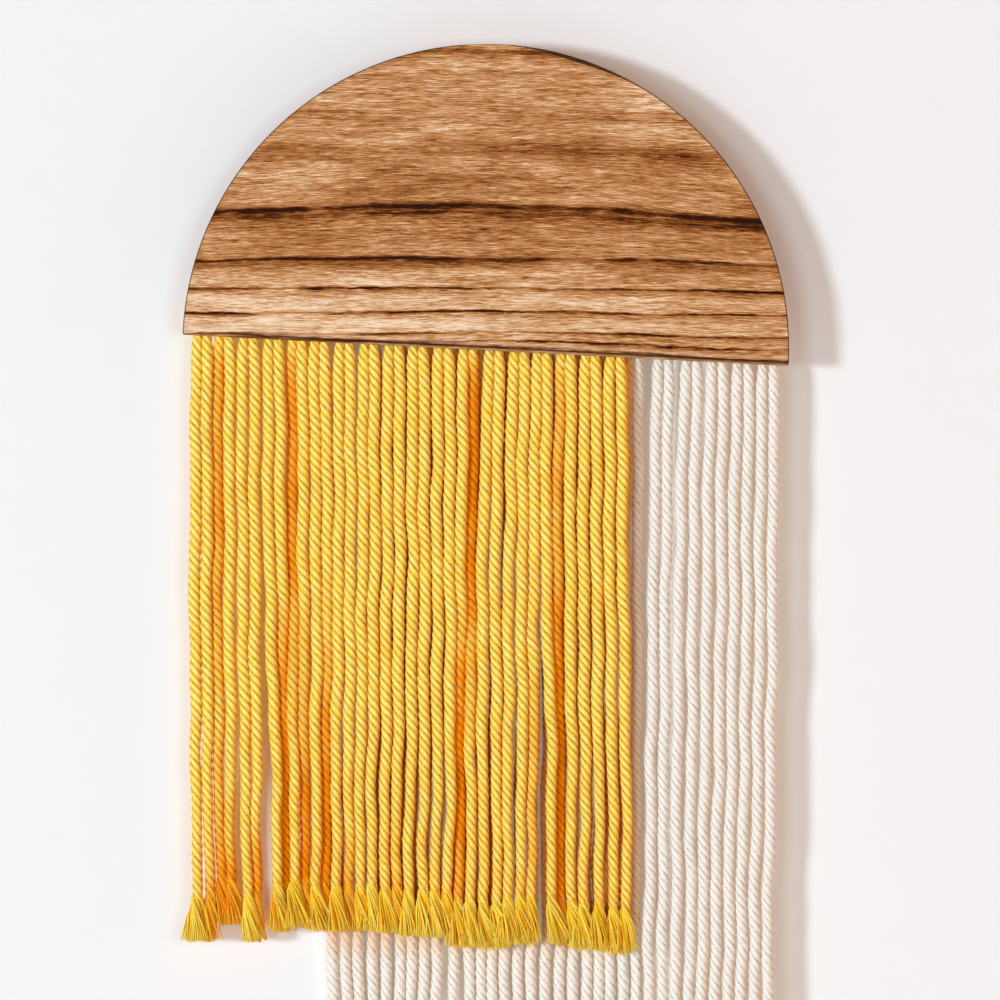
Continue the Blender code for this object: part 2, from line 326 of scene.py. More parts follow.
def twisted(gather, line, rng, number, column, columns, front, thin, pressed, flank_shade, painted_bounce):
    """One cord from tip to tip, laid up to the left. Both ends run out inside their frayed brushes."""
    line, at = even(line, 0.5)
    whole = at[-1]
    # Cotton cord never hangs quite straight. The wave dies out at the fold.
    calm = np.clip(np.abs(at - whole / 2) / 40 - 0.5, 0, 1)
    line = line.copy()
    together = 0.40 * np.sin(line[:, 2] / 13.0 + 0.09 * line[:, 0]) + 0.20 * np.sin(line[:, 2] / 6.3 - 0.06 * line[:, 0] + 1)
    line[:, 0] += calm * (together + waves(rng, at, (25, 44, 88), 0.17))
    line[:, 1] += calm * waves(rng, at, (31, 57), 0.24)
    keep = (at >= BRUSH) & (at <= whole - BRUSH)
    line, at = even(line[keep], RING_STEP)
    sunk = np.clip((line[:, 1] - front) / 2.6, 0, 1)
    tangent, normal, side = carried_frames(line)
    angle = -2 * math.pi * at / LAY + waves(rng, at, (60, 110), 0.28) + rng.uniform(0, 6.28)
    turn = ANGLES[None] + angle[:, None]
    swell = 1 + waves(rng, at, (19, 47), 0.026)
    # The cord is pinched where it comes out under the plaque's straight edge.
    over = ((line - EDGE_MIDDLE) @ UPRIGHT + 1.2) / 3.0
    swell = swell * (1 - 0.22 * np.exp(-over * over))
    # Towards an end, more and more yarns have come loose and the core thins.
    end = np.minimum(at, at[-1] - at)
    swell = swell * np.clip(0.62 + 0.38 * end / 6.0, 0, 1)
    # The hanging weight has drawn the last stretch a little thinner.
    low = np.clip((110.0 - end) / 80.0, 0, 1)
    swell = swell * (1 - thin * low * low * (3 - 2 * low))
    each = np.stack([1 + waves(rng, at, (11, 29), 0.028) for _ in range(PLIES)], 1)
    lobe = np.arange(AROUND) * PLIES // AROUND
    # A groove's depth follows the two plies beside it.
    beside = np.where(ACROSS == -1.0, (lobe - 1) % PLIES, lobe)
    # Loose fibres fill a groove here and there.
    bridged = np.stack([0.5 + waves(rng, at, (7, 12), 0.5) for _ in range(PLIES)], 1)[:, lobe]
    depth = np.where(ACROSS == -1.0, 0.38 * np.clip(bridged, 0, 1), 0.0)
    radius = (RADII[None] + depth) * swell[:, None] * (each[:, lobe] + each[:, beside]) / 2
    points = (
        line[:, None]
        + (radius * np.cos(turn))[:, :, None] * normal[:, None] * (2 - pressed)
        + (radius * np.sin(turn))[:, :, None] * side[:, None] * pressed
    )
    n = len(line)
    first, last = len(points) * AROUND, len(points) * AROUND + 1
    i, k = np.meshgrid(np.arange(n - 1), np.arange(AROUND), indexing="ij")
    k2 = (k + 1) % AROUND
    quads = np.stack([i * AROUND + k, i * AROUND + k2, (i + 1) * AROUND + k2, (i + 1) * AROUND + k], -1).reshape(-1, 4)
    # What the corners carry: distance along, place across the ply, and the cord's and ply's number.
    here, there = ACROSS[k], np.where(ACROSS[k2] == -1.0, 1.0, ACROSS[k2])
    which = number + 0.23 * lobe[k]
    corner = np.stack([
        np.stack([at[i], here, which], -1), np.stack([at[i], there, which], -1),
        np.stack([at[i + 1], there, which], -1), np.stack([at[i + 1], here, which], -1),
    ], 2).reshape(-1, 3)
    # The bake's map: each cord has a column for each strand, unrolled along the plies.
    half = n // 2
    col = column * 2 + (i >= half)
    along = np.where(i >= half, n - 1 - i, i) / (half + 1)
    nxt = np.where(i >= half, n - 2 - i, i + 1) / (half + 1)
    u0 = (col + 0.08 + 0.84 * k / AROUND) / (2 * columns)
    u1 = (col + 0.08 + 0.84 * (k + 1) / AROUND) / (2 * columns)
    uv = np.stack([
        np.stack([u0, 0.01 + 0.97 * along], -1), np.stack([u1, 0.01 + 0.97 * along], -1),
        np.stack([u1, 0.01 + 0.97 * nxt], -1), np.stack([u0, 0.01 + 0.97 * nxt], -1),
    ], 2).reshape(-1, 2)
    flat = np.vstack([points.reshape(-1, 3), line[:1], line[-1:]])
    # A strand is painted deeper in colour, as painted shade, where it lies behind its neighbours and on the flanks that
    # press against them (most on the right, away from the window light). It is also deeper towards its ends. On its
    # front, where another tier hangs close before it, it gets painted orange bounce light.
    right = np.sin(turn) * side[:, :1]
    flank = np.clip((right - 0.35) / 0.60, 0, 1) ** 1.5 * 1.25 + np.clip((-right - 0.60) / 0.40, 0, 1) ** 1.5 * 0.65
    ending = thin * (0.7 * np.clip(1 - end / 90.0, 0, 1) + 1.2 * np.clip(1 - end / 12.0, 0, 1))
    front_bounce = painted_bounce(line)[:, None] * np.clip(1.4 * np.cos(turn), 0, 1)
    deeper = np.clip(sunk[:, None] + ending[:, None] + flank_shade * flank + front_bounce, 0, 1)
    behind = np.stack([deeper[i, k], deeper[i, k2], deeper[i + 1, k2], deeper[i + 1, k]], 2).reshape(-1)
    grooves = np.flatnonzero(ACROSS == -1.0)
    rows = np.arange(n - 1)[:, None] * AROUND + grooves[None]
    sharp = np.stack([rows, rows + AROUND], -1).reshape(-1, 2)
    gather.add(flat, quads, corner, uv, behind, sharp)
    # The two ends, closed by a fan each.
    ks = np.arange(AROUND)
    start = np.stack([(ks + 1) % AROUND, ks, np.full(AROUND, first)], 1)
    stop = np.stack([(n - 1) * AROUND + ks, (n - 1) * AROUND + (ks + 1) % AROUND, np.full(AROUND, last)], 1)
    caps = np.vstack([start, stop])
    base = gather.count - len(flat)
    gather.faces.append(caps + base)
    gather.ply.append(np.tile((0.0, 0.9, number), (len(caps) * 3, 1)))
    gather.behind.append(np.zeros(len(caps) * 3))
    spot = np.array([(column * 2 + 0.5) / (2 * columns), 0.006])
    gather.uv.append(spot + np.tile([[0, 0], [0.002, 0], [0.001, 0.003]], (len(caps), 1)))
    # How each end's plies stand when looked at from above, for the brush that grows out of it.
    return line, (angle[0] - math.pi / 2, -math.pi / 2 - angle[-1]), (sunk[0], sunk[-1])


# ---------------------------------------------------------------- frayed ends
def brush(gather, foot, heading, phase, sunk, rng, number, cell, cells, flare, lean, back_limit):
    """Loose yarns below foot: each ply goes on along its helix, untwists and spreads as it falls."""
    n = YARNS
    u = np.array((0.0, 0.09, 0.18, 0.30, 0.47, 0.72, 1.0))
    rings = len(u)
    heading = heading / np.linalg.norm(heading)
    length = (BRUSH + OPENING) * (1 + rng.normal(0, 0.022, n))
    stray = rng.uniform(0, 1, n) < 0.04
    length = np.where(stray, length * rng.uniform(0.84, 1.04, n), length)
    down = length[:, None] * u[None]
    ply = rng.integers(0, PLIES, n)
    # The lay dies out within about one turn below the place where it starts to open.
    turned = 2 * math.pi / LAY * 7.5 * (1 - np.exp(-down / 7.5)) * rng.uniform(0.93, 1.07, n)[:, None]
    around = phase + (ply * math.pi / 2)[:, None] + turned
    spin = rng.uniform(0, 2 * math.pi, n)[:, None] + turned
    out = rng.uniform(0, 1, n)[:, None] ** 0.38
    opened = u[None] ** rng.uniform(1.0, 1.35, n)[:, None]
    core = 1.0 + (0.42 * flare * rng.uniform(0.75, 1.2, n))[:, None] * opened
    own = out * (0.90 + (0.62 * flare * rng.uniform(0.8, 1.15, n) * np.where(stray, 1.35, 1.0))[:, None] * opened)
    flat = 1.0 - 0.36 * u[None]
    x = core * np.cos(around) + own * np.cos(spin)
    y = (core * np.sin(around) + own * np.sin(spin)) * flat
    swing = rng.normal(0, 0.40, (n, 2))
    curl = rng.uniform(0, 2 * math.pi, n)
    x += lean[0] * u[None] ** 1.4 + swing[:, :1] * u[None] ** 2 + 0.20 * np.sin(curl[:, None] + 5 * u[None]) * u[None]
    y += lean[1] * u[None] ** 1.4 + 0.5 * swing[:, 1:] * u[None] ** 2
    down = down - (np.hypot(x, y) ** 2) / (2.8 * BRUSH) * u[None]
    line = (
        foot[None, None]
        + down[:, :, None] * heading
        + x[:, :, None] * np.array((1.0, 0.0, 0.0))
        + y[:, :, None] * np.array((0.0, 1.0, 0.0))
    )
    line[:, :, 1] = np.clip(line[:, :, 1], -5.4, back_limit)
    thick = YARN_RADIUS * rng.uniform(0.75, 1.3, n)[:, None] * np.array([1.1, 1.1, 1.1, 1.05, 1, 0.9, 0.6])[None]
    tangent = np.gradient(line, axis=1)
    tangent /= np.linalg.norm(tangent, axis=2, keepdims=True)
    normal = np.cross(tangent, np.array((0.0, 1.0, 0.0)))
    normal /= np.linalg.norm(normal, axis=2, keepdims=True)
    side = np.cross(tangent, normal)
    sides = 4
    turn = np.arange(sides) / sides * 2 * math.pi + 0.5
    points = (
        line[:, :, None]
        + (thick[:, :, None] * np.cos(turn))[..., None] * normal[:, :, None]
        + (thick[:, :, None] * np.sin(turn))[..., None] * side[:, :, None]
    )
    f, r, k = np.meshgrid(np.arange(n), np.arange(rings - 1), np.arange(sides), indexing="ij")
    base = f * rings * sides
    k2 = (k + 1) % sides
    quads = np.stack([base + r * sides + k, base + r * sides + k2, base + (r + 1) * sides + k2, base + (r + 1) * sides + k], -1).reshape(-1, 4)
    # Painted light and shade: yarns on the outside of the brush are painted paler, those deep inside it deeper.
    shade = np.clip(2.4 * (out[:, 0] - 0.70) + rng.normal(0, 0.45, n), -1, 1)
    own = np.stack([u[r], shade[f], np.full(f.shape, number)], -1)
    own2 = np.stack([u[r + 1], shade[f], np.full(f.shape, number)], -1)
    corner = np.stack([own, own, own2, own2], 3).reshape(-1, 3)
    place = cell + np.arange(n)
    cu, cv = (place % cells) / cells, (place // cells) / cells
    a = (k + 0.3) / (sides + 0.6)
    b = (k + 1.3) / (sides + 0.6)
    low = (r + 0.15) / (rings - 0.7)
    high = (r + 1.15) / (rings - 0.7)
    uv = np.stack([
        np.stack([cu[f] + a / cells, cv[f] + low / cells], -1),
        np.stack([cu[f] + b / cells, cv[f] + low / cells], -1),
        np.stack([cu[f] + b / cells, cv[f] + high / cells], -1),
        np.stack([cu[f] + a / cells, cv[f] + high / cells], -1),
    ], 3).reshape(-1, 2)
    # The yarns carry their strand's painted shade for lying behind its neighbours.
    gather.add(points.reshape(-1, 3), quads, corner, uv, np.full(len(corner), sunk))
    # Each yarn's two ends.
    f1 = np.arange(n) * rings * sides
    end = f1 + (rings - 1) * sides
    caps = np.vstack([np.stack([f1 + 3, f1 + 2, f1 + 1, f1], 1), np.stack([end, end + 1, end + 2, end + 3], 1)])
    shift = gather.count - points.size // 3
    gather.faces.append(caps + shift)
    cap_ply = np.vstack([
        np.repeat(np.stack([np.zeros(n), shade, np.full(n, number)], 1), 4, 0),
        np.repeat(np.stack([np.ones(n), shade, np.full(n, number)], 1), 4, 0),
    ])
    gather.ply.append(cap_ply)
    gather.behind.append(np.full(len(cap_ply), sunk))
    spot = np.stack([cu, cv], 1) + 0.5 / cells
    spot = np.repeat(np.vstack([spot, spot]), 4, 0)
    gather.uv.append(spot + np.tile([[0, 0], [0.1 / cells, 0], [0.1 / cells, 0.1 / cells], [0, 0.1 / cells]], (2 * n, 1)))


# ---------------------------------------------------------------- materials
class Look:
    """A node material, put together in short lines."""

    def __init__(self, name):
        self.material = bpy.data.materials.new(name)
        self.material.use_nodes = True
        self.tree = self.material.node_tree
        self.tree.nodes.clear()

    def feed(self, socket, value):
        if isinstance(value, bpy.types.NodeSocket):
            self.tree.links.new(value, socket)
        elif value is not None:
            socket.default_value = value

    def put(self, kind, inputs=(), **settings):
        node = self.tree.nodes.new("ShaderNode" + kind)
        for key, value in settings.items():
            setattr(node, key, value)
        for key, value in dict(inputs).items():
            self.feed(node.inputs[key], value)
        return node

    def math(self, what, a, b=None, c=None, clamp=False):
        return self.put("Math", {0: a, 1: b, 2: c}, operation=what, use_clamp=clamp).outputs[0]

    def add(self, *values):
        total = values[0]
        for value in values[1:]:
            total = self.math("ADD", total, value)
        return total

    def times(self, a, b):
        return self.math("MULTIPLY", a, b)

    def fade(self, value, low, high, to_low=0.0, to_high=1.0):
        """Smoothly from to_low at low to to_high at high."""
        return self.put(
            "MapRange", {0: value, 1: low, 2: high, 3: to_low, 4: to_high}, interpolation_type="SMOOTHSTEP"
        ).outputs[0]

    def hump(self, value, middle, width):
        """1 at the middle, falling off as a bell."""
        off = self.math("DIVIDE", self.math("SUBTRACT", value, middle), width)
        return self.math("EXPONENT", self.math("MULTIPLY", self.math("MULTIPLY", off, off), -1.0))

    def vector(self, x, y, z):
        return self.put("CombineXYZ", {0: x, 1: y, 2: z}).outputs[0]

    def noise(self, vector, detail=2.0, roughness=0.5, distortion=0.0):
        """Noise with a feature about every unit of the vector, from 0 to 1 with a middle of 0.5."""
        node = self.put("TexNoise", {"Vector": vector, "Scale": 1.0, "Detail": detail, "Roughness": roughness,
                                     "Distortion": distortion})
        return node.outputs[0]

    def ramp(self, value, stops):
        node = self.put("ValToRGB", {0: value})
        bar = node.color_ramp.elements
        while len(bar) < len(stops):
            bar.new(0.5)
        for element, (place, colour) in zip(bar, stops):
            element.position = place
        for element, (place, colour) in zip(bar, stops):
            element.color = (*colour, 1.0) if hasattr(colour, "__len__") else (colour, colour, colour, 1.0)
        return node.outputs[0]

    def mix(self, factor, a, b, blend="MIX"):
        node = self.put("Mix", {0: factor, 6: a, 7: b}, data_type="RGBA", blend_type=blend, clamp_factor=True)
        return node.outputs[2]

    def finish(self, colour, roughness, height, bump, **sockets):
        inputs = {"Base Color": colour, "Roughness": roughness}
        inputs.update({key.replace("_", " "): value for key, value in sockets.items()})
        if height is not None:
            inputs["Normal"] = self.put(
                "Bump", {"Strength": 1.0, "Distance": bump * MM, "Height": height}
            ).outputs["Normal"]
        surface = self.put("BsdfPrincipled", inputs)
        self.put("OutputMaterial", {0: surface.outputs[0]})
        return self.material


def screen(r, g, b):
    """A colour given as on a screen (0 to 255), as the shader wants it."""
    return tuple((c / 255 / 12.92) if c <= 10 else ((c / 255 + 0.055) / 1.055) ** 2.4 for c in (r, g, b))


def wood():
    """Lightly toasted, oiled paulownia-like wood, sawn so that its rings run along the straight edge."""
    look = Look("toasted_wood_grain")
    place = look.put("TexCoord").outputs["Object"]
    split = look.put("SeparateXYZ", {0: place})
    x = look.add(look.times(split.outputs[0], 1000.0), -float(EDGE_MIDDLE[0]))
    z = look.add(look.times(split.outputs[2], 1000.0), -float(EDGE_MIDDLE[2]))
    y = look.times(split.outputs[1], 1000.0)
    c, s = math.cos(TILT), math.sin(TILT)
    along = look.add(look.times(x, c), look.times(z, -s))
    up = look.add(look.times(x, s), look.times(z, c))
    radius = look.math("SQRT", look.add(look.times(along, along), look.times(up, up)))

    # The rings arch a little, most in the middle of the board, and wander.
    side = look.add(x, 22.0)
    arch = look.add(0.00003, look.times(look.hump(z, 66.0, 17.0), 0.00026))
    warp = look.noise(look.vector(look.times(x, 1 / 70), look.times(z, 1 / 26), look.times(y, 1 / 60)), 2.0)
    wander = look.noise(look.vector(look.times(x, 1 / 15), look.times(z, 1 / 7), look.times(y, 1 / 20)), 2.0)
    ring = look.add(
        z,
        look.times(look.times(side, side), arch),
        look.times(look.add(warp, -0.5), 4.2),
        look.times(look.add(wander, -0.5), 1.3),
        look.times(y, 0.35),
        look.fade(z, 64.0, 50.0, 0.0, 2.2),
        look.times(look.math("MAXIMUM", look.add(x, -20.0), 0.0), 0.012),
    )

    def streak(length, thick, shift, detail=2.0, roughness=0.5):
        return look.noise(
            look.vector(look.add(look.times(x, 1 / length), shift), look.times(ring, 1 / thick), look.times(y, 1 / 3)),
            detail, roughness,
        )

    # The dark lines are ragged, made of many fine fibres.
    ragged = look.add(ring, look.times(look.add(streak(8.0, 1.1, 21.0, 3.0, 0.7), -0.5), 2.2))
    clouds = streak(52, 9, 3.1)
    broad = streak(42, 3.0, 7.7, 3.0, 0.6)
    fine = streak(13.0, 0.60, 1.3, 4.0, 0.72)
    hair = streak(5.5, 0.27, 5.9, 2.0, 0.65)
    pores = look.fade(streak(7.5, 0.36, 11.0, 1.0), 0.60, 0.70)

    # How pale the wood is from the straight edge up to the crown.
    tone = look.ramp(
        look.times(ring, 1 / 142),
        ((0.0, 0.73), (0.06, 0.83), (0.17, 0.775), (0.26, 0.65), (0.36, 0.570), (0.45, 0.580), (0.55, 0.63),
         (0.66, 0.675), (0.76, 0.705), (0.86, 0.65), (0.93, 0.69), (1.0, 0.77)),
    )
    # Browner and paler patches: place, half length, half height, darkness.
    patches = 0.0
    for mid_x, mid_z, half_x, half_z, depth in (
        (-30.0, 72.5, 30.0, 6.0, 0.17), (-93.0, 90.5, 14.0, 5.0, 0.12), (45.0, 91.5, 17.0, 5.0, 0.20),
        (96.0, 87.0, 24.0, 4.5, 0.14), (-7.0, 40.5, 21.0, 3.2, 0.15), (80.0, 114.0, 14.0, 6.5, -0.16),
        (120.0, 58.0, 26.0, 8.0, 0.08), (-110.0, 60.0, 22.0, 5.0, 0.06), (-17.0, 54.0, 26.0, 6.0, 0.10),
        (55.0, 36.0, 45.0, 5.0, -0.07), (72.0, 108.0, 20.0, 12.0, -0.06), (-25.0, 63.6, 55.0, 1.7, 0.22),
        (112.0, 63.4, 26.0, 1.4, 0.16), (-62.0, 41.0, 48.0, 1.5, 0.10), (-95.0, 74.0, 40.0, 9.0, -0.07), (80.0, 50.0, 26.0, 6.0, -0.06),
    ):
        patch = look.times(look.hump(x, mid_x, half_x), look.hump(ring, mid_z, half_z))
        patches = look.add(patches, look.times(patch, depth))
    pale_left = look.times(look.fade(x, -60.0, 110.0, 0.08, -0.05), look.fade(z, 62.0, 20.0))
    # Rings: height over the disc's middle, half thickness, darkness, the soft brown below each, and how it
    # turns to follow the straight edge.
    dark = 0.0
    for k, (height, half, strength, soft, soft_strength, slope) in enumerate((
        (134.4, 1.1, 0.46, 2.8, 0.20, 0.0),
        (107.0, 0.7, 0.16, 3.0, 0.14, 0.0),
        (91.0, 1.2, 0.08, 4.0, 0.16, 0.0),
        (63.4, 1.05, 0.56, 3.0, 0.20, 0.0),
        (60.4, 0.6, 0.22, 1.6, 0.12, 0.0),
        (40.8, 0.9, 0.50, 2.8, 0.24, 0.0),
        (27.4, 0.55, 0.62, 2.0, 0.18, 0.0),
        (16.5, 0.60, 0.72, 1.7, 0.20, 0.0),
        (6.8, 0.55, 0.60, 1.3, 0.16, 0.002),
        (3.0, 0.50, 0.62, 1.1, 0.16, 0.014),
        (1.0, 0.42, 0.50, 0.9, 0.10, 0.036),
    )):
        alive = look.fade(
            look.noise(look.vector(look.times(x, 1 / 34), 13.7 * k + 2.0, look.times(z, 1 / 40)), 2.0), 0.36, 0.60, 0.40, 1.12
        )
        line = look.add(
            look.times(look.hump(look.add(ragged, look.times(x, slope)), height, half), strength),
            look.times(look.hump(look.add(ring, look.times(x, slope)), height - 0.7 * soft, soft), soft_strength),
        )
        dark = look.add(dark, look.times(line, alive))
    value = look.add(
        tone,
        pale_left,
        look.times(look.add(clouds, -0.5), 0.42),
        look.times(look.add(broad, -0.5), 0.62),
        look.times(look.add(fine, -0.5), 1.5),
        look.times(look.add(hair, -0.5), 1.15),
        look.times(pores, -0.24),
        look.times(dark, -1.0),
        look.times(patches, -1.0),
    )
    colour = look.ramp(value, (
        (0.0, screen(46, 14, 0)), (0.15, screen(88, 38, 4)), (0.30, screen(127, 70, 22)),
        (0.45, screen(161, 100, 49)), (0.60, screen(190, 130, 76)), (0.75, screen(214, 161, 110)),
        (0.88, screen(234, 193, 151)), (1.0, screen(250, 224, 194)),
    ))
    # The sawn and sanded rim is scorched a little by the cutter, most on the right of the crown.
    rough_edge = look.times(look.add(hair, -0.5), 0.7)
    plain = look.math("SUBTRACT", 1.0, look.times(look.hump(x, 1.0, 13.0), look.fade(z, 100, 120)))
    burnt = look.times(look.hump(x, 42.0, 18.0), look.fade(z, 70, 115))
    scorch = look.add(look.times(plain, 0.52), look.times(burnt, 1.5), rough_edge)
    rim = look.fade(look.add(radius, scorch), BOARD_RADIUS - 0.20, BOARD_RADIUS + 0.25)
    over = look.add(up, BOARD_LIP)
    foot = look.times(look.hump(look.add(over, rough_edge), 1.35, 0.62), look.fade(x, -130.0, -108.0, 0.15, 1.0))
    under = look.fade(over, 0.9, 0.3, 0.0, 0.5)
    # Painted highlight: a pale strip along the straight edge, a little above its foot.
    colour = look.mix(look.times(look.hump(over, 3.2, 0.7), 0.20), colour, (*screen(246, 222, 190), 1.0))
    colour = look.mix(under, colour, (*screen(150, 96, 50), 1.0))
    colour = look.mix(foot, colour, (*screen(62, 28, 8), 1.0))
    colour = look.mix(look.times(rim, 0.9), colour, (*screen(38, 22, 12), 1.0))
    roughness = look.add(0.50, look.times(fine, 0.14), look.times(pores, 0.12))
    height = look.add(look.times(fine, 0.5), look.times(hair, 0.35), look.times(pores, -0.6), look.times(broad, 0.3))
    return look.finish(colour, roughness, height, 0.09, Specular_IOR_Level=0.07)


def cotton(name, crown, body, groove, deep, shaded, glow):
    """Four-ply cotton cord: fine fibres along each ply, with painted shade where the plies meet and a painted highlight
    on their crowns.
    """
    look = Look(name)
    ply = look.put("Attribute", attribute_name="ply").outputs["Vector"]
    behind = look.put("Attribute", attribute_name="behind").outputs["Fac"]
    split = look.put("SeparateXYZ", {0: ply})
    at, across, number = split.outputs
    off = look.math("ABSOLUTE", across)
    skew = look.add(look.times(at, 0.30), look.times(across, 0.55))
    fibre = look.noise(look.vector(skew, look.times(across, 5.5), look.times(number, 7.3)), 3.0, 0.6)
    hair = look.noise(look.vector(look.times(at, 0.9), look.times(across, 13.0), look.times(number, 3.1)), 2.0, 0.6)
    slub = look.noise(look.vector(look.times(at, 0.11), look.times(across, 0.4), look.times(number, 5.7)), 2.0)
    fill = look.noise(look.vector(look.times(at, 0.85), look.times(off, 0.7), look.times(number, 9.1)), 2.0)
    place = look.put("TexCoord").outputs["Object"]
    fuzz = look.noise(look.put("VectorMath", {0: place, 1: (1500.0, 1500.0, 900.0)}, operation="MULTIPLY").outputs[0], 2.0)
    # Painted highlight: the crown of each ply is painted paler than its body.
    colour = look.mix(look.fade(look.add(off, look.times(look.add(slub, -0.5), 0.9)), 0.66, 0.0), (*body, 1.0), (*crown, 1.0))
    # Painted shade: towards the grooves the colour turns to the darker groove colour.
    between = look.fade(look.add(off, look.times(look.add(fibre, -0.5), 0.30)), 0.62, 1.0, 0.0, 0.46)
    colour = look.mix(between, colour, (*groove, 1.0))
    # Painted shade: the grooves are painted dark in short dashes; between them loose fibres bridge the grooves.
    dash = look.times(look.fade(look.add(off, look.times(look.add(fibre, -0.5), 0.2)), 0.82, 0.98),
                      look.fade(fill, 0.49, 0.57, 0.0, 1.0))
    colour = look.mix(dash, colour, (*deep, 1.0))
    # Painted shade: where the strand's shade attribute is up, the colour is multiplied towards the shaded colour.
    colour = look.mix(behind, colour, look.mix(1.0, colour, (*shaded, 1.0), "MULTIPLY"))
    tone = look.add(0.875, look.times(fibre, 0.12), look.times(hair, 0.10), look.times(slub, 0.05))
    grey = look.put("CombineColor", {0: tone, 1: tone, 2: tone}).outputs[0]
    colour = look.mix(1.0, colour, grey, "MULTIPLY")
    roughness = look.add(0.46, look.times(fibre, 0.14))
    height = look.add(look.times(fibre, 0.8), look.times(hair, 0.45), look.times(fuzz, 0.25))
    return look.finish(colour, roughness, height, 0.16, Specular_IOR_Level=0.04, Sheen_Weight=0.5, Sheen_Roughness=0.5,
                       Sheen_Tint=(*glow, 1.0))


def yarn(name, pale, body, dark, shaded, glow):
    """The loose yarns of a frayed end."""
    look = Look(name)
    split = look.put("SeparateXYZ", {0: look.put("Attribute", attribute_name="ply").outputs["Vector"]})
    behind = look.put("Attribute", attribute_name="behind").outputs["Fac"]
    at, shade, number = split.outputs
    place = look.put("TexCoord").outputs["Object"]
    fuzz = look.noise(look.put("VectorMath", {0: place, 1: (2600.0, 2600.0, 420.0)}, operation="MULTIPLY").outputs[0], 3.0, 0.6)
    # Painted light and shade: outer yarns paler, inner ones deeper, by their shade value.
    own = look.add(look.times(shade, 0.32), look.times(look.add(fuzz, -0.5), 0.9), 0.5)
    colour = look.ramp(own, ((0.05, dark), (0.5, body), (0.95, pale)))
    colour = look.mix(look.fade(at, 0.75, 1.0, 0.0, 0.35), colour, (*pale, 1.0))
    # Painted shade: the brushes of strands that lie behind are multiplied towards the shaded colour.
    colour = look.mix(look.times(behind, 0.85), colour, look.mix(1.0, colour, (*shaded, 1.0), "MULTIPLY"))
    roughness = look.add(0.46, look.times(fuzz, 0.14))
    return look.finish(colour, roughness, fuzz, 0.05, Specular_IOR_Level=0.04, Sheen_Weight=1.0, Sheen_Roughness=0.5,
                       Sheen_Tint=(*glow, 1.0))


YELLOW_CORD = cotton("yellow_cotton_cord", screen(255, 243, 152), screen(255, 215, 66), screen(208, 122, 2), screen(70, 48, 0),
                     (0.89, 0.35, 0.0), (1.0, 0.55, 0.03))
CREAM_CORD = cotton("cream_cotton_cord", screen(248, 245, 238), screen(243, 238, 227), screen(220, 205, 185), screen(140, 122, 100),
                    (0.95, 0.47, 0.12), (1.0, 0.86, 0.70))
YELLOW_YARN = yarn("yellow_cotton_yarn", screen(255, 238, 116), screen(255, 213, 46), screen(255, 160, 0), (0.98, 0.46, 0.02),
                   (1.0, 0.72, 0.08))
CREAM_YARN = yarn("cream_cotton_yarn", screen(252, 247, 239), screen(249, 242, 230), screen(238, 224, 206), (1.0, 1.0, 1.0),
                  (1.0, 0.90, 0.78))


# ---------------------------------------------------------------- the plaque
board = bpy.data.objects["board"]
board_material = wood()
for slot in board.material_slots:
    slot.material = board_material
if not board.material_slots:
    board.data.materials.append(board_material)


# ---------------------------------------------------------------- the two tiers
def tier(name, rows, line_of, cord_look, yarn_look, node, groups, seed, flare, back_limit, front, thin, pressed,
         flank_shade, painted_bounce):
    pieces, lengths = [], []
    first = 0
    frays = Mesh()
    cells = math.ceil(math.sqrt(2 * len(rows) * YARNS))
    cell = 0
    for number, count in enumerate(groups):
        gather = Mesh()
        for column, i in enumerate(range(first, first + count)):
            rng = np.random.default_rng(seed + i)
            line = through(line_of(i))
            line, phases, sunk = twisted(gather, line, rng, float(i), column, count, front(i), thin, pressed, flank_shade, painted_bounce)
            lengths.append(float(np.linalg.norm(np.diff(line, axis=0), axis=1).sum()) + 2 * BRUSH)
            for leg, (end, before) in enumerate(((line[0], line[6]), (line[-1], line[-7]))):
                heading = (end - before) / np.linalg.norm(end - before)
                foot = end - heading * OPENING
                lean = (rng.normal(0, 1.3), rng.normal(0, 0.5))
                brush(frays, foot, heading, phases[leg] - 2 * math.pi / LAY * OPENING, sunk[leg], rng, float(2 * i + leg),
                      cell, cells, flare * rng.uniform(0.85, 1.15), lean, back_limit(i))
                cell += YARNS
        first += count
        piece = gather.make(f"{name}_cords_{number + 1}", cord_look)
        pieces.append(piece)
    tail = frays.make(f"{name}_frayed_ends", yarn_look)
    for piece in (*pieces, tail):
        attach(piece, "root")
        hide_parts(node)
    return pieces, tail, lengths


def behind_yellow(line):
    """1 where the yellow tier hangs before a cream cord, 0 beside it and below it: where the cream cords' fronts are
    painted with the yellow tier's orange bounce light and shade.
    """
    down = EDGE_MIDDLE[2] - line[:, 2]
    return np.clip((69.0 - line[:, 0]) / 6.0, 0, 1) * np.clip((286.0 - down) / 22.0, 0, 1)


yellow_pieces, yellow_tail, yellow_lengths = tier(
    "yellow", YELLOW, yellow_line, YELLOW_CORD, YELLOW_YARN, "yellow_fringe", (6, 6, 6), 500,
    4.9, lambda i: 9.4, lambda i: YELLOW_FRONT, 0.13, 1.07, 0.52,
    lambda line: np.zeros(len(line)),
)
cream_pieces, cream_tail, cream_lengths = tier(
    "cream", CREAM, cream_line, CREAM_CORD, CREAM_YARN, "cream_fringe", (5, 4, 4, 4), 900,
    4.9, lambda i: CREAM[i][7] + 4.4, lambda i: 20.0, 0.0, 1.0, 0.15, behind_yellow,
)


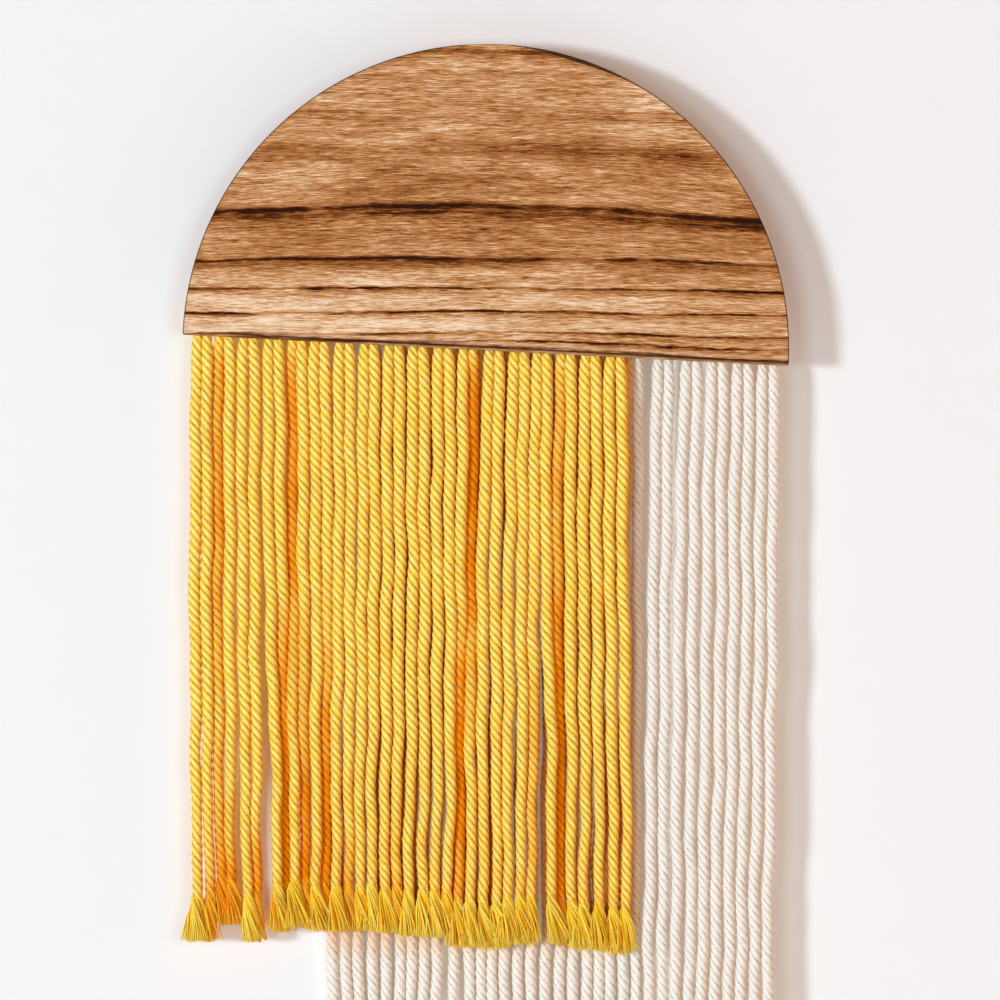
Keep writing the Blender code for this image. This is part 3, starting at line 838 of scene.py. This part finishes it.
# ---------------------------------------------------------------- wall, floor, light and camera
def stage_plane(name, corners, colour):
    mesh = bpy.data.meshes.new(name)
    mesh.from_pydata(corners, [], [(0, 1, 2, 3)])
    look = Look(name + "_paint")
    speck = look.noise(look.put("VectorMath", {0: look.put("TexCoord").outputs["Object"], 1: (60.0,) * 3}, operation="MULTIPLY").outputs[0], 3.0)
    tint = look.mix(speck, (*[c * 0.995 for c in colour], 1.0), (*[min(1.0, c * 1.005) for c in colour], 1.0))
    paint = look.put("BsdfDiffuse", {0: tint, 1: 0.3})
    # Seen from behind it is clear, and it holds back no light, so that the object's back shows too.
    clear = look.math(
        "MAXIMUM", look.put("NewGeometry").outputs["Backfacing"], look.put("LightPath").outputs["Is Shadow Ray"]
    )
    both = look.put("MixShader", {0: clear, 1: paint.outputs[0], 2: look.put("BsdfTransparent").outputs[0]})
    look.put("OutputMaterial", {0: both.outputs[0]})
    mesh.materials.append(look.material)
    plane = bpy.data.objects.new(name, mesh)
    bpy.context.scene.collection.objects.link(plane)
    return plane


WALL_DEPTH = 0.018
stage_plane("wall", [(-4, WALL_DEPTH, -1.6), (4, WALL_DEPTH, -1.6), (4, WALL_DEPTH, 2.4), (-4, WALL_DEPTH, 2.4)], (0.93, 0.93, 0.93))
stage_plane("floor", [(-4, -4, -1.6), (4, -4, -1.6), (4, WALL_DEPTH, -1.6), (-4, WALL_DEPTH, -1.6)], (0.88, 0.87, 0.86))

# A cool window from the left, soft boxes on both sides and an amber room: together they are white on the wall.
WARM = (1.0, 0.50, 0.22)
world = bpy.data.worlds.new("soft_room")
world.use_nodes = True
room = world.node_tree
# The room lies in front of the wall: little light comes from behind it.
way = room.nodes.new("ShaderNodeSeparateXYZ")
room.links.new(room.nodes.new("ShaderNodeTexCoord").outputs["Generated"], way.inputs[0])
ahead = room.nodes.new("ShaderNodeMapRange")
ahead.interpolation_type = "SMOOTHSTEP"
for socket, value in zip(range(1, 5), (0.20, -0.40, 0.02, 0.20)):
    ahead.inputs[socket].default_value = value
room.links.new(way.outputs[1], ahead.inputs[0])
fill = room.nodes["Background"]
fill.inputs["Color"].default_value = (*WARM, 1.0)
room.links.new(ahead.outputs[0], fill.inputs["Strength"])
seen = room.nodes.new("ShaderNodeBackground")
seen.inputs["Color"].default_value = (1.0, 0.995, 0.99, 1.0)
seen.inputs["Strength"].default_value = 0.85
choose = room.nodes.new("ShaderNodeMixShader")
room.links.new(room.nodes.new("ShaderNodeLightPath").outputs["Is Camera Ray"], choose.inputs[0])
room.links.new(fill.outputs[0], choose.inputs[1])
room.links.new(seen.outputs[0], choose.inputs[2])
room.links.new(choose.outputs[0], room.nodes["World Output"].inputs[0])
bpy.context.scene.world = world
bpy.context.scene.view_settings.view_transform = "Standard"
bpy.context.scene.view_settings.look = "None"


def lamp(name, azimuth, distance, width, power, colour):
    """A square soft box level with the object, azimuth degrees to the left of straight in front, facing it."""
    light = bpy.data.lights.new(name, "AREA")
    light.shape, light.size, light.energy, light.color = "SQUARE", width, power, colour
    obj = bpy.data.objects.new(name, light)
    a = math.radians(azimuth)
    way = Vector((math.sin(a), math.cos(a), 0.0))
    obj.location = Vector((0.0, 0.0, -0.15)) - distance * way
    obj.rotation_mode = "QUATERNION"
    obj.rotation_quaternion = way.to_track_quat("-Z", "Y")
    obj.visible_camera = False
    bpy.context.scene.collection.objects.link(obj)


lamp("window_light", 46.0, 7.0, 0.95, 300.0, (0.776, 0.900, 1.0))
lamp("left_fill", 20.0, 3.5, 1.1, 21.9, (0.79, 0.94, 1.0))
lamp("right_fill", -17.0, 3.5, 1.1, 21.9, (0.81, 0.93, 0.97))
lamp("warm_side", -72.0, 3.0, 1.0, 18.0, (1.0, 0.36, 0.10))
lamp("back_fill", 180.0, 3.0, 1.2, 19.0, (1.0, 0.88, 0.77))

# Light goes on between the cords for a few more turns than usual.
bpy.context.scene.cycles.diffuse_bounces = 6

camera = bpy.data.cameras.new("camera")
camera.sensor_width = 36.0
DISTANCE = 2.6
camera.lens = 36.0 * DISTANCE / 0.464
camera.clip_start, camera.clip_end = 0.05, 40.0
eye = bpy.data.objects.new("camera", camera)
eye.location = (0.00283, -DISTANCE, -0.1446)
eye.rotation_euler = (math.radians(90), 0, 0)
bpy.context.scene.collection.objects.link(eye)
bpy.context.scene.camera = eye

bpy.context.view_layer.update()
